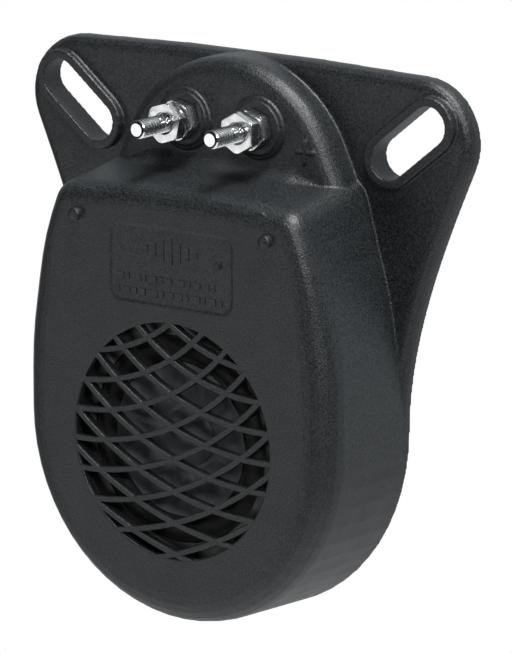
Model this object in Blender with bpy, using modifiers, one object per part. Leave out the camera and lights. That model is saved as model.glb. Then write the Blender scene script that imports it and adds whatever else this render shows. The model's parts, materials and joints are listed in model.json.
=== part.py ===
"""Vehicle back-up alarm: a moulded housing with a speaker, a circuit board and two terminal studs.

Frame: X to the right and Z up, seen from the front. The rear mounting face is the plane Y = 0, and the
alarm stands forward of it, towards -Y. The origin is on that face, level with the studs.
Sizes are in millimetres. A depth called "forward" is the distance in front of the rear face.
"""

import math

import bmesh
import bpy
from mathutils import Matrix, Vector

MM = 0.001
GAP = 0.3  # clearance between pieces that touch

# Housing outline
TOP_Z = 16.5  # top edge of the flange and of the terminal arch
CORNER_TOP_Z = 15.6  # the top edge falls a little towards its corners
CORNER_RADIUS = 15.9
CORNER_X, CORNER_Z = 53.5, -0.3
ARCH_RADIUS = 34.6
ARCH_END_DEG = 25.0  # where the arch turns into the body's side
ARCH_FOOT_Z = -60.0  # how far down the arch runs inside the speaker box
BODY_HALF_WIDTH = 48.3
ROUND_CENTRE_Z, ROUND_HEIGHT = -76.5, 50.2  # the body's round bottom, a half ellipse
ROUND_DROP = 1.7  # how much lower the bottom is at the back than at the front
SPEAKER_Z = -78.9  # centre of the grille and the speaker
BODY_SHOULDER_RADIUS = 6.0
LEDGE_HALF_WIDTH = 37.4
LEDGE_CROWN = 2.2

# Housing depths, forward of the rear face
FLANGE, FLANGE_EDGE = 5.3, 3.0  # its thickness and the rounding of its front edge
SLOT_PAD = 7.5
TERMINAL_FACE, ARCH_EDGE = 14.7, 5.0  # the face's depth and the rounding of its edge
BODY_FRONT = 36.5
TOP_EDGE, SIDE_EDGE = 5.0, 7.6  # rounding of the body's front edge, by the ledge and further down
TOP_EDGE_Z, SIDE_EDGE_Z = -26.0, -48.0  # where the one turns into the other
EDGE_STEPS = 5
LEDGE_FRONT_Z, LEDGE_SLOPE = -14.6, 0.147
LEDGE_FILLET, FILLET_STRAIGHT, FILLET_END = 4.0, 22.0, 31.5  # its radius; half widths where it fades out
WALL = 2.5
FRONT_WALL = 2.2
REBATE_DEPTH, REBATE_WALL = 2.3, 1.2
TRIM = 1.5  # how far the rough solids run behind the rear face, before it is cut flat

# Slots: centres of the two round ends of the right one
SLOT_OUTER = (58.1, 4.25)
SLOT_INNER = (45.9, -5.65)
SLOT_RADIUS = 5.15
PAD_RADIUS = 7.5

# Terminals
STUD_X = 11.5
STUD_RADIUS, STUD_ROOT, THREAD_PITCH = 2.415, 1.93, 25.4 / 24
STUD_HOLE_RADIUS = 2.75
STUD_TIP = 35.5
STUD_HEAD_BACK, STUD_HEAD_FRONT, STUD_HEAD_FLATS = 6.9, 9.3, 8.0
COLLAR_STEPS = ((8.0, 15.4), (6.9, 16.0))  # radius and front of each step
NUT_FLATS, NUT_THICK, NUT_BORE = 9.53, 3.2, 2.65
INNER_NUT_BACK = 16.3
WASHER_BACK, WASHER_THICK, WASHER_RADIUS, WASHER_SPLIT = 19.8, 1.0, 4.3, 0.7
WIRING_NUT_BACK = 21.1
INNER_NUT_TURNS, WIRING_NUT_TURNS = {"left": 46.0, "right": 43.0}, {"left": 18.0, "right": 30.0}  # degrees

# Grille: two families of bars, arcs about two centres above it
GRILLE_RADIUS = 30.6
GRILLE_CENTRE_X, GRILLE_CENTRE_RISE = 28.7, 69.0
GRILLE_TURN_DEG = 1.4  # the pattern sits slightly turned in its round opening
BAR_FIRST_RADIUS, BAR_STEP, BAR_COUNT, BAR_WIDTH = 48.0, 7.785, 8, 1.4

# Marks on the front
PIP_X, PIP_Z, PIP_RADIUS, PIP_HEIGHT = 29.9, -23.4, 1.5, 2.0
LABEL_HALF_WIDTH, LABEL_TOP, LABEL_BOTTOM, LABEL_CORNER, LABEL_DEPTH = 19.2, -23.9, -44.1, 3.2, 0.3
DIMPLE_X, DIMPLE_Z, DIMPLE_RADIUS, DIMPLE_DEPTH = 14.8, -31.2, 1.0, 0.5
PLUS_X, PLUS_Z, PLUS_LENGTH, PLUS_STROKE, PLUS_HEIGHT = 25.8, -4.7, 6.2, 0.5, 0.3

# Circuit board and the layers behind it
COVER_THICK = 2.0
POTTING_BACK, POTTING_FRONT = 2.3, 5.0
BOARD_BACK, BOARD_FRONT = 5.3, 6.9
BOARD_TOP, BOARD_BOTTOM, BOARD_TOP_HALF, BOARD_BOTTOM_HALF = -13.0, -60.5, 30.5, 34.5
BOARD_POSTS = ((-26.5, -19.5), (26.5, -19.5), (-30.5, -56.6), (30.5, -56.6))
POST_RADIUS, PILOT_RADIUS, POST_PILOT_DEPTH = 3.0, 1.55, 9.0
COMPONENT_BACK = BOARD_FRONT + GAP

# Speaker depths, forward of the rear face, and radii
INNER_FRONT = BODY_FRONT - FRONT_WALL
GASKET = (33.0, 34.0, 31.2, 34.2)  # back, front, inner radius, outer radius
FRAME_FLANGE = (31.5, 32.7, 27.0, 34.5)
LUG_ORBIT, LUG_RADIUS = 38.0, 3.6
SURROUND_INNER, SURROUND_OUTER = 20.4, 26.7
CONE_RIM, CONE_NECK = (20.1, 32.8), (8.4, 27.9)  # radius, depth
CONE_THICK = 0.5
FORMER = (18.5, 27.7, 6.2, 6.6)
COIL = (18.7, 21.7, 6.9, 7.5)
SPIDER, SPIDER_RIM = (24.5, 6.9, 15.6), 1.7  # depth, inner radius, outer radius; width of the flat rim
TOP_PLATE = (18.2, 21.2, 7.9, 16.0)
MAGNET = (11.9, 17.9, 9.0, 17.4)
BACK_PLATE_BACK, BACK_PLATE_FRONT, BACK_PLATE_RADIUS, POLE_RADIUS = 9.6, 11.6, 16.0, 5.8

ROUND = 32  # segments of a full turn
OVERRUN = 2.0  # how far a cutter runs past what it cuts


# Points of outlines, as (x, z) pairs


def arc(centre, radius, start_deg, end_deg, steps):
    """Points along an arc, both ends included."""
    turn = [math.radians(start_deg + (end_deg - start_deg) * i / steps) for i in range(steps + 1)]
    return [(centre[0] + radius * math.cos(a), centre[1] + radius * math.sin(a)) for a in turn]


def bezier(p0, p1, p2, p3, steps):
    """Points along a cubic curve, both ends included."""
    found = []
    for i in range(steps + 1):
        t = i / steps
        weights = ((1 - t) ** 3, 3 * t * (1 - t) ** 2, 3 * t * t * (1 - t), t**3)
        found.append(tuple(sum(w * p[k] for w, p in zip(weights, (p0, p1, p2, p3))) for k in (0, 1)))
    return found


def mirrored(right_side):
    """A closed outline from its right half, which runs from the bottom to the top of the middle line."""
    left_side = [(-x, z) for x, z in reversed(right_side) if x > 1e-6]
    return right_side + left_side


def rounded_corner(before, corner, after, radius, steps):
    """Points of the arc that rounds a corner between two straight edges."""
    corner = Vector(corner)
    to_before = (Vector(before) - corner).normalized()
    to_after = (Vector(after) - corner).normalized()
    half = to_before.angle(to_after) / 2
    centre = corner + (to_before + to_after).normalized() * radius / math.sin(half)
    start = corner + to_before * radius / math.tan(half) - centre
    end = corner + to_after * radius / math.tan(half) - centre
    return [tuple(centre + start.lerp(end, i / steps).normalized() * radius) for i in range(steps + 1)]


def rounded_polygon(corners, radius, steps):
    """A closed outline with every corner rounded."""
    found = []
    for i, corner in enumerate(corners):
        found += rounded_corner(corners[i - 1], corner, corners[(i + 1) % len(corners)], radius, steps)
    return found


def obround(first, second, radius, steps):
    """The outline of a slot with round ends about two centres."""
    along = math.degrees(math.atan2(second[1] - first[1], second[0] - first[0]))
    return arc(second, radius, along - 90, along + 90, steps) + arc(
        first, radius, along + 90, along + 270, steps
    )


def inset(outline, depth):
    """The outline moved inwards by a wall's thickness. It runs anticlockwise."""
    found = []
    for i, (x, z) in enumerate(outline):
        ahead, behind = outline[(i + 1) % len(outline)], outline[i - 1]
        along = Vector((ahead[0] - behind[0], ahead[1] - behind[1])).normalized()
        found.append((x - along.y * depth, z + along.x * depth))
    return found


def hexagon(flats, turn_deg=0.0):
    """The corners of a hexagon across flats."""
    return arc((0, 0), flats / math.sqrt(3), turn_deg, turn_deg + 300, 5)


def rectangle(left, right, bottom, top):
    """The corners of an upright rectangle."""
    return [(left, bottom), (right, bottom), (right, top), (left, top)]


# Outlines of the housing


ARCH_CENTRE = (0.0, TOP_Z - ARCH_RADIUS)
ARCH_END = arc(ARCH_CENTRE, ARCH_RADIUS, ARCH_END_DEG, 90, 1)[0]
SIDE_CURVE = ((BODY_HALF_WIDTH, -66.0), (BODY_HALF_WIDTH, -42.0), (40.6, -22.8), ARCH_END)


def round_bottom():
    """The right half of the body's round bottom, from the middle line to the widest point."""
    squash = ROUND_HEIGHT / BODY_HALF_WIDTH
    circle = arc((0, 0), BODY_HALF_WIDTH, -90, 0, 15)
    return [(x, ROUND_CENTRE_Z + z * squash) for x, z in circle]


def body_outline():
    """The whole outline of the body: round bottom, long curved sides and the terminal arch."""
    bottom = round_bottom()
    side = bezier(*SIDE_CURVE, 11)
    arch = arc(ARCH_CENTRE, ARCH_RADIUS, ARCH_END_DEG, 90, 12)
    return mirrored(bottom + side + arch[1:])


def arch_outline():
    """The terminal arch, whose lower end is buried in the speaker box."""
    side = [p for p in bezier(*SIDE_CURVE, 11) if p[1] > ARCH_FOOT_Z]
    arch = arc(ARCH_CENTRE, ARCH_RADIUS, ARCH_END_DEG, 90, 12)
    return mirrored([(0, side[0][1])] + side + arch[1:])


def speaker_box_outline(ledge_z):
    """The body's outline below the ledge, whose height at the middle is given."""
    corner = (LEDGE_HALF_WIDTH, ledge_z - LEDGE_CROWN)
    side = bezier(*SIDE_CURVE, 40)
    below = min(side, key=lambda p: abs(p[1] - (corner[1] - BODY_SHOULDER_RADIUS)))
    kept = bezier(*SIDE_CURVE, 11)
    kept = [p for p in kept if p[1] < below[1] - 1]
    top = [
        (LEDGE_HALF_WIDTH * (1 - i / 6), ledge_z - LEDGE_CROWN * (1 - i / 6) ** 2) for i in range(1, 7)
    ]
    bottom = round_bottom()
    shoulder = rounded_corner(below, corner, top[0], BODY_SHOULDER_RADIUS, 6)
    return mirrored(bottom + kept + shoulder + top)


def flange_outline():
    """The bell-shaped flange: straight top, round corners and sides that sweep in to the body."""
    top_left_deg = 88.5
    corner = arc((CORNER_X, CORNER_Z), CORNER_RADIUS, -24, top_left_deg, 12)
    leave = Vector((-math.sin(math.radians(24)), -math.cos(math.radians(24))))
    start = Vector(corner[0])
    sweep_handle, end_handle = 25.0, 23.0
    end = Vector((BODY_HALF_WIDTH, ROUND_CENTRE_Z + 1.0))
    sweep = bezier(end, end + Vector((0.3, end_handle)), start + leave * sweep_handle, start, 14)
    inside = [(0, ROUND_CENTRE_Z - 10), (BODY_HALF_WIDTH - 2.4, ROUND_CENTRE_Z - 10)]
    return mirrored(inside + sweep + corner[1:] + [(22.0, TOP_Z), (0, TOP_Z)])


# Blender helpers


def clear_scene():
    for obj in list(bpy.data.objects):
        bpy.data.objects.remove(obj, do_unlink=True)


def new_collection(name, parent=None):
    made = bpy.data.collections.new(name)
    (parent or bpy.context.scene.collection).children.link(made)
    return made


def new_material(name, colour, roughness, metallic=0.0):
    made = bpy.data.materials.new(name)
    made.use_nodes = True
    shader = made.node_tree.nodes["Principled BSDF"]
    shader.inputs["Base Color"].default_value = (*colour, 1.0)
    shader.inputs["Roughness"].default_value = roughness
    shader.inputs["Metallic"].default_value = metallic
    return made


def add_object(name, mesh, home, centre=(0.0, 0.0)):
    """A mesh drawn with its own Z as forward, stood up in the frame at (x, z)."""
    obj = bpy.data.objects.new(name, mesh)
    obj.location = (centre[0] * MM, 0, centre[1] * MM)
    obj.rotation_euler = (math.radians(90), 0, 0)
    home.objects.link(obj)
    return obj


def finish(obj, material=None, smooth_deg=35):
    """Shading and material for a part. A cutter takes no material and is left out of renders."""
    obj.data.shade_smooth()
    obj.data.set_sharp_from_angle(angle=math.radians(smooth_deg))
    if material:
        obj.data.materials.clear()
        obj.data.materials.append(material)
    return obj


def as_helper(obj):
    obj.hide_render = True
    obj.display_type = "WIRE"
    return obj


def plate_mesh(name, outline, back, front, front_edge=0.0, edge_steps=4):
    """A flat outline given thickness, from one depth to another, with its front edge rounded if asked."""
    curve = bpy.data.curves.new(name, "CURVE")
    curve.dimensions = "2D"
    curve.fill_mode = "BOTH"
    curve.extrude = (front - back) / 2 * MM
    spline = curve.splines.new("POLY")
    spline.points.add(len(outline) - 1)
    for point, (x, z) in zip(spline.points, outline):
        point.co = (x * MM, z * MM, 0, 1)
    spline.use_cyclic_u = True
    drawn = bpy.data.objects.new(name, curve)
    bpy.context.scene.collection.objects.link(drawn)
    mesh = bpy.data.meshes.new_from_object(drawn.evaluated_get(bpy.context.evaluated_depsgraph_get()))
    bpy.data.objects.remove(drawn)
    bpy.data.curves.remove(curve)
    shape = bmesh.new()
    shape.from_mesh(mesh)
    bmesh.ops.remove_doubles(shape, verts=shape.verts, dist=1e-7)
    bmesh.ops.dissolve_limit(shape, angle_limit=math.radians(0.2), verts=shape.verts, edges=shape.edges)
    bmesh.ops.translate(shape, verts=shape.verts, vec=(0, 0, (front + back) / 2 * MM))
    if front_edge:
        ahead = (front - 0.01) * MM
        edges = [e for e in shape.edges if all(v.co.z > ahead for v in e.verts)]
        bmesh.ops.bevel(
            shape, geom=edges, offset=front_edge * MM, segments=edge_steps, profile=0.5, affect="EDGES"
        )
    bmesh.ops.recalc_face_normals(shape, faces=shape.faces)
    shape.to_mesh(mesh)
    shape.free()
    mesh.name = name
    return mesh


def plate(name, outline, back, front, home, centre=(0.0, 0.0), **edge):
    return add_object(name, plate_mesh(name, outline, back, front, **edge), home, centre)


def loft(name, sections, home):
    """A solid through sections, each a closed loop of (x, z, forward) points, with flat ends."""
    shape = bmesh.new()
    rings = [[shape.verts.new([v * MM for v in point]) for point in section] for section in sections]
    for first, second in zip(rings, rings[1:]):
        for i in range(len(first)):
            shape.faces.new((first[i - 1], first[i], second[i], second[i - 1]))
    shape.faces.new(rings[0])
    shape.faces.new(rings[-1])
    bmesh.ops.recalc_face_normals(shape, faces=shape.faces)
    mesh = bpy.data.meshes.new(name)
    shape.to_mesh(mesh)
    shape.free()
    return add_object(name, mesh, home)


def turned(name, profile, home, centre=(0.0, 0.0), steps=ROUND, ring=False):
    """A turned shape about a forward axis, from (radius, depth) points that run down its outer side."""
    mesh = bpy.data.meshes.new(name)
    edges = [(i, i + 1) for i in range(len(profile) - 1)]
    if ring:
        edges.append((len(profile) - 1, 0))
    mesh.from_pydata([(r * MM, 0, depth * MM) for r, depth in profile], edges, [])
    obj = add_object(name, mesh, home, centre)
    screw = obj.modifiers.new("Turn", "SCREW")
    screw.steps = screw.render_steps = steps
    screw.use_merge_vertices = True
    screw.merge_threshold = 0.000001
    screw.use_smooth_shade = True
    return obj


def ring_profile(inner, outer, back, front):
    return [(inner, front), (outer, front), (outer, back), (inner, back)]


def ring(name, size, home, centre=(0.0, 0.0), steps=ROUND):
    """A plain ring from its back, front, inner radius and outer radius."""
    back, front, inner, outer = size
    return turned(name, ring_profile(inner, outer, back, front), home, centre, steps, ring=True)


def cylinder(name, radius, back, front, home, centre=(0.0, 0.0), steps=ROUND):
    """A solid round bar along the forward axis."""
    shape = bmesh.new()
    bmesh.ops.create_cone(
        shape,
        cap_ends=True,
        segments=steps,
        radius1=radius * MM,
        radius2=radius * MM,
        depth=(front - back) * MM,
        matrix=Matrix.Translation((0, 0, (front + back) / 2 * MM)),
    )
    mesh = bpy.data.meshes.new(name)
    shape.to_mesh(mesh)
    shape.free()
    return add_object(name, mesh, home, centre)


def block(name, size, centre, home, round_edge=0.0):
    """A box of (x, z, forward) size about (x, z, forward), with its edges rounded if asked."""
    shape = bmesh.new()
    bmesh.ops.create_cube(shape, size=MM)
    bmesh.ops.scale(shape, verts=shape.verts, vec=size)
    bmesh.ops.translate(shape, verts=shape.verts, vec=(0, 0, centre[2] * MM))
    if round_edge:
        bmesh.ops.bevel(
            shape, geom=shape.edges[:], offset=round_edge * MM, segments=2, profile=0.5, affect="EDGES"
        )
    mesh = bpy.data.meshes.new(name)
    shape.to_mesh(mesh)
    shape.free()
    return add_object(name, mesh, home, centre[:2])


def wire(name, route, radius, home):
    """A round wire through points given as (x, z, forward), smoothed into a curve of short runs."""
    curve = bpy.data.curves.new(name, "CURVE")
    curve.dimensions = "3D"
    curve.bevel_depth = radius * MM
    curve.bevel_resolution = 2
    curve.use_fill_caps = True
    points = smooth_route(route)
    spline = curve.splines.new("POLY")
    spline.points.add(len(points) - 1)
    for point, (x, z, forward) in zip(spline.points, points):
        point.co = (x * MM, z * MM, forward * MM, 1)
    obj = bpy.data.objects.new(name, curve)
    obj.rotation_euler = (math.radians(90), 0, 0)
    home.objects.link(obj)
    return obj


def smooth_route(route, steps=4):
    """Points of a smooth curve that passes through each point of a route."""
    ends = [route[0]] + list(route) + [route[-1]]
    found = []
    for i in range(1, len(ends) - 2):
        a, b, c, d = (Vector(p) for p in ends[i - 1 : i + 3])
        for step in range(steps):
            t = step / steps
            found.append(
                0.5 * (2 * b + (c - a) * t + (2 * a - 5 * b + 4 * c - d) * t**2 + (3 * b - a - 3 * c + d) * t**3)
            )
    return found + [Vector(route[-1])]


def mesh_of(obj):
    """The object as a mesh with welded caps, so that Booleans can use it."""
    graph = bpy.context.evaluated_depsgraph_get()
    mesh = bpy.data.meshes.new_from_object(obj.evaluated_get(graph))
    shape = bmesh.new()
    shape.from_mesh(mesh)
    bmesh.ops.remove_doubles(shape, verts=shape.verts, dist=1e-7)
    bmesh.ops.recalc_face_normals(shape, faces=shape.faces)
    shape.to_mesh(mesh)
    shape.free()
    made = bpy.data.objects.new(obj.name, mesh)
    made.matrix_world = obj.matrix_world
    return made


def boolean(obj, operation, other):
    """Adds a Boolean with one object, or with every object of a collection."""
    modifier = obj.modifiers.new(operation.title(), "BOOLEAN")
    modifier.operation = operation
    modifier.solver = "EXACT"
    if isinstance(other, bpy.types.Collection):
        modifier.operand_type = "COLLECTION"
        modifier.collection = other
    else:
        modifier.object = other
    return modifier


# Housing


def ledge_height(forward):
    """Height of the ledge's middle at a depth: it slopes down towards the front."""
    return LEDGE_FRONT_Z + LEDGE_SLOPE * (BODY_FRONT - forward)


def smooth_share(value, start, end):
    """How far a value has got from start to end, eased at both."""
    share = min(1.0, max(0.0, (value - start) / (end - start)))
    return share * share * (3 - 2 * share)


def drafted(point, forward):
    """Where a point of the body's front outline lies at a depth further back."""
    x, z = point
    behind = BODY_FRONT - forward
    top = LEDGE_FRONT_Z - LEDGE_CROWN
    rise = LEDGE_SLOPE * behind * min(1.0, max(0.0, (z - top) / (2 * BODY_SHOULDER_RADIUS) + 1))
    drop = ROUND_DROP * behind / BODY_FRONT * max(0.0, ROUND_CENTRE_Z - z) / ROUND_HEIGHT
    return x, z + rise - drop


def speaker_box(home):
    """The deep box behind the front face, with a front edge whose rounding grows down its sides."""
    front = speaker_box_outline(LEDGE_FRONT_Z)
    inwards = [(i[0] - f[0], i[1] - f[1]) for i, f in zip(inset(front, 1.0), front)]
    radii = [TOP_EDGE + (SIDE_EDGE - TOP_EDGE) * smooth_share(-z, -TOP_EDGE_Z, -SIDE_EDGE_Z) for x, z in front]
    sections = [[(*drafted(point, -TRIM), -TRIM) for point in front]]
    for step in range(EDGE_STEPS + 1):
        turn = math.radians(90 * step / EDGE_STEPS)
        section = []
        for point, (nx, nz), radius in zip(front, inwards, radii):
            forward = BODY_FRONT - radius * (1 - math.sin(turn))
            x, z = drafted(point, forward)
            in_by = radius * (1 - math.cos(turn))
            section.append((x + nx * in_by, z + nz * in_by, forward))
        sections.append(section)
    return as_helper(loft("speaker_box", sections, home))


def fillet_section(x):
    """Points (x, z, forward) of the hollow fillet between ledge and terminal face, at one place across."""
    fade = min(1.0, max(0.0, (FILLET_END - abs(x)) / (FILLET_END - FILLET_STRAIGHT)))
    radius, sunk = LEDGE_FILLET * fade + 0.4, 0.06
    base = ledge_height(TERMINAL_FACE) - LEDGE_CROWN * (x / LEDGE_HALF_WIDTH) ** 2 - sunk
    hollow = arc((base + radius, TERMINAL_FACE + radius), radius, 270, 180, 6)
    section = [(z - LEDGE_SLOPE * (forward - TERMINAL_FACE), forward - sunk) for z, forward in hollow]
    root = TERMINAL_FACE - WALL / 2
    section += [(base - WALL / 2, section[-1][1]), (base - WALL / 2, root), (section[0][0], root)]
    return [(x, z, forward) for z, forward in section]


def ledge_fillet(home):
    """The fillet as a loft of sections from left to right."""
    count = 20
    across = [FILLET_END * (2 * i / count - 1) for i in range(count + 1)]
    return as_helper(loft("ledge_fillet", [fillet_section(x) for x in across], home))


def grille_bars(name, side, home):
    """One family of grille bars, as arcs about one of the two centres."""
    turned_by = Matrix.Rotation(math.radians(GRILLE_TURN_DEG), 2)
    place = turned_by @ Vector((side * GRILLE_CENTRE_X, GRILLE_CENTRE_RISE))
    centre = (place.x, SPEAKER_Z + place.y)
    facing = math.degrees(math.atan2(SPEAKER_Z - centre[1], -centre[0]))
    joined = bmesh.new()
    for k in range(BAR_COUNT):
        radius = BAR_FIRST_RADIUS + BAR_STEP * k
        half = math.degrees(math.asin(min(1.0, 1.12 * GRILLE_RADIUS / radius)))
        steps = 12
        outline = arc(centre, radius + BAR_WIDTH / 2, facing - half, facing + half, steps) + arc(
            centre, radius - BAR_WIDTH / 2, facing + half, facing - half, steps
        )
        bar = plate_mesh(name, outline, INNER_FRONT - 2 * OVERRUN, BODY_FRONT + 2 * OVERRUN)
        joined.from_mesh(bar)
        bpy.data.meshes.remove(bar)
    mesh = bpy.data.meshes.new(name)
    joined.to_mesh(mesh)
    joined.free()
    return as_helper(add_object(name, mesh, home))


def grille_openings(home, helpers):
    """The cells of the grille: a round cutter less the two families of bars."""
    cells = cylinder(
        "grille_cells", GRILLE_RADIUS, INNER_FRONT - OVERRUN, BODY_FRONT + OVERRUN, home, (0, SPEAKER_Z), 64
    )
    for name, side in (("bars_leaning_left", 1), ("bars_leaning_right", -1)):
        boolean(cells, "DIFFERENCE", grille_bars(name, side, helpers))
    return as_helper(cells)


def slot_ends(side):
    return [(side * SLOT_OUTER[0], SLOT_OUTER[1]), (side * SLOT_INNER[0], SLOT_INNER[1])]


def housing_solids(home):
    """Everything that stands out from the flange."""
    speaker_box(home)
    ledge_fillet(home)
    as_helper(plate("terminal_arch", arch_outline(), -TRIM, TERMINAL_FACE, home, front_edge=ARCH_EDGE, edge_steps=5))
    for side, word in ((-1, "left"), (1, "right")):
        pad = obround(*slot_ends(side), PAD_RADIUS, 10)
        as_helper(plate("slot_pad_" + word, pad, -TRIM, SLOT_PAD, home, front_edge=0.5, edge_steps=2))
        for step, (radius, front) in enumerate(COLLAR_STEPS):
            back = TERMINAL_FACE - WALL / 2 - step / 4
            name = f"collar_{word}_{step}"
            as_helper(cylinder(name, radius, back, front, home, (side * STUD_X, 0)))
        nose = [(0, PIP_HEIGHT), (PIP_RADIUS * 0.6, PIP_HEIGHT), (PIP_RADIUS, PIP_HEIGHT * 0.6)]
        nose = [(r, BODY_FRONT + h) for r, h in nose] + [(PIP_RADIUS, BODY_FRONT - 1), (0, BODY_FRONT - 1)]
        as_helper(turned("pip_" + word, nose, home, (side * PIP_X, PIP_Z), 16))
    reach = PLUS_LENGTH / 2
    for name, x, z in (("plus_across", reach * 0.88, PLUS_STROKE / 2), ("plus_up", PLUS_STROKE / 2, reach)):
        size = (2 * x, 2 * z, PLUS_HEIGHT + WALL / 2)
        depth = TERMINAL_FACE + PLUS_HEIGHT - size[2] / 2
        as_helper(block(name, size, (PLUS_X, PLUS_Z, depth), home))


def housing_hollows(home, helpers):
    """Everything cut from the housing before its posts are added."""
    whole = body_outline()
    box = inset(speaker_box_outline(LEDGE_FRONT_Z), WALL)
    as_helper(plate("rear_trim", rectangle(-90, 90, -150, 40), -4 * OVERRUN, 0, home))
    as_helper(plate("speaker_hollow", box, -OVERRUN, INNER_FRONT, home))
    as_helper(plate("terminal_hollow", inset(whole, WALL), -OVERRUN - 0.3, TERMINAL_FACE - WALL, home))
    as_helper(plate("cover_rebate", inset(whole, REBATE_WALL), -OVERRUN - 0.6, REBATE_DEPTH, home))
    for side, word in ((-1, "left"), (1, "right")):
        slot = obround(*slot_ends(side), SLOT_RADIUS, 12)
        as_helper(plate("slot_" + word, slot, -OVERRUN, SLOT_PAD + OVERRUN, home))
        hole = (TERMINAL_FACE - WALL - OVERRUN, COLLAR_STEPS[-1][1] + OVERRUN)
        as_helper(cylinder("stud_hole_" + word, STUD_HOLE_RADIUS, *hole, home, (side * STUD_X, 0), 24))
    label = rounded_polygon(
        rectangle(-LABEL_HALF_WIDTH, LABEL_HALF_WIDTH, LABEL_BOTTOM, LABEL_TOP), LABEL_CORNER, 5
    )
    as_helper(plate("label_recess", label, BODY_FRONT - LABEL_DEPTH, BODY_FRONT + OVERRUN, home))
    dimple = (BODY_FRONT - LABEL_DEPTH - DIMPLE_DEPTH, BODY_FRONT + OVERRUN + 0.3)
    as_helper(cylinder("label_dimple", DIMPLE_RADIUS, *dimple, home, (DIMPLE_X, DIMPLE_Z), 16))
    grille_openings(home, helpers)


def lug_places():
    """Centres of the four screw lugs of the speaker frame."""
    return [(LUG_ORBIT * math.cos(a), SPEAKER_Z + LUG_ORBIT * math.sin(a)) for a in
            (math.radians(90 * k) for k in range(4))]


def housing_posts(home):
    """Posts for the circuit board and low bosses for the speaker, grown from the front wall."""
    for i, place in enumerate(BOARD_POSTS):
        as_helper(
            cylinder(f"board_post_{i}", POST_RADIUS, BOARD_FRONT + GAP, INNER_FRONT + 1, home, place, 20)
        )
    for i, place in enumerate(lug_places()):
        low = FRAME_FLANGE[1] + GAP
        as_helper(cylinder(f"speaker_boss_{i}", LUG_RADIUS - 0.3, low, INNER_FRONT + 1, home, place, 20))


def housing_pilots(home):
    """Pilot holes for the screws."""
    for i, place in enumerate(BOARD_POSTS):
        span = (BOARD_FRONT - OVERRUN, BOARD_FRONT + POST_PILOT_DEPTH)
        as_helper(cylinder(f"board_pilot_{i}", PILOT_RADIUS, *span, home, place, 12))
    for i, place in enumerate(lug_places()):
        span = (FRAME_FLANGE[1] - OVERRUN, BODY_FRONT - 0.8)
        as_helper(cylinder(f"speaker_pilot_{i}", PILOT_RADIUS, *span, home, place, 12))


def make_housing(home, cutters, material):
    solids = new_collection("housing_solids", cutters)
    hollows = new_collection("housing_hollows", cutters)
    posts = new_collection("housing_posts", cutters)
    pilots = new_collection("housing_pilots", cutters)
    grille = new_collection("grille_bars", cutters)
    housing_solids(solids)
    housing_hollows(hollows, grille)
    housing_posts(posts)
    housing_pilots(pilots)
    housing = plate("housing", flange_outline(), -TRIM / 2, FLANGE, home, front_edge=FLANGE_EDGE, edge_steps=3)
    boolean(housing, "UNION", solids)
    boolean(housing, "DIFFERENCE", hollows)
    boolean(housing, "UNION", posts)
    boolean(housing, "DIFFERENCE", pilots)
    finish(housing, material)


def make_rear_cover(home, cutters, plastic, resin):
    """The flat cover in its rebate, and the potting layer with a pocket for each board screw's head."""
    cover = plate("rear_cover", inset(body_outline(), REBATE_WALL + GAP), 0, COVER_THICK, home)
    finish(cover, plastic)
    layer = inset(body_outline(), WALL + GAP)
    potting = plate("potting_layer", layer, POTTING_BACK, POTTING_FRONT, home)
    for i, place in enumerate(BOARD_POSTS):
        span = (POTTING_BACK + 0.7, POTTING_FRONT + OVERRUN)
        pocket = as_helper(cylinder(f"screw_pocket_{i}", 3.4, *span, cutters, place, 16))
        boolean(potting, "DIFFERENCE", pocket)
    finish(potting, resin)


# Terminals


def thread_profile(tip, base):
    """The outer side of a thread as plain ridges, from the chamfered tip down to the base."""
    chamfer = 0.8
    found = [(0, tip), (STUD_ROOT - 0.25, tip), (STUD_ROOT + 0.1, tip - chamfer)]
    depth = tip - chamfer - THREAD_PITCH / 2
    while depth - THREAD_PITCH / 2 > base:
        found += [(STUD_RADIUS, depth), (STUD_ROOT, depth - THREAD_PITCH / 2)]
        depth -= THREAD_PITCH
    return found


def chamfered_nut(name, back, front, turn_deg, home, cutters, centre):
    """A hex nut with both faces chamfered and a countersunk bore."""
    nut = plate(name, hexagon(NUT_FLATS, turn_deg), back, front, home, centre)
    corner, flat = NUT_FLATS / math.sqrt(3) + 0.3, NUT_FLATS / 2 + 0.3
    slope = (corner - flat) * math.tan(math.radians(30))
    dome = [(0, front + 0.1), (flat - 0.2, front + 0.1), (corner, front - slope), (corner, back + slope)]
    dome += [(flat - 0.2, back - 0.1), (0, back - 0.1)]
    boolean(nut, "INTERSECT", as_helper(turned(name + "_chamfer", dome, cutters, centre, 24)))
    sink = 0.5
    bore = [(0, front + 1), (NUT_BORE + sink + 1, front + 1), (NUT_BORE, front - sink)]
    bore += [(NUT_BORE, back + sink), (NUT_BORE + sink + 1, back - 1), (0, back - 1)]
    boolean(nut, "DIFFERENCE", as_helper(turned(name + "_bore", bore, cutters, centre, 20)))
    return nut


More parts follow.
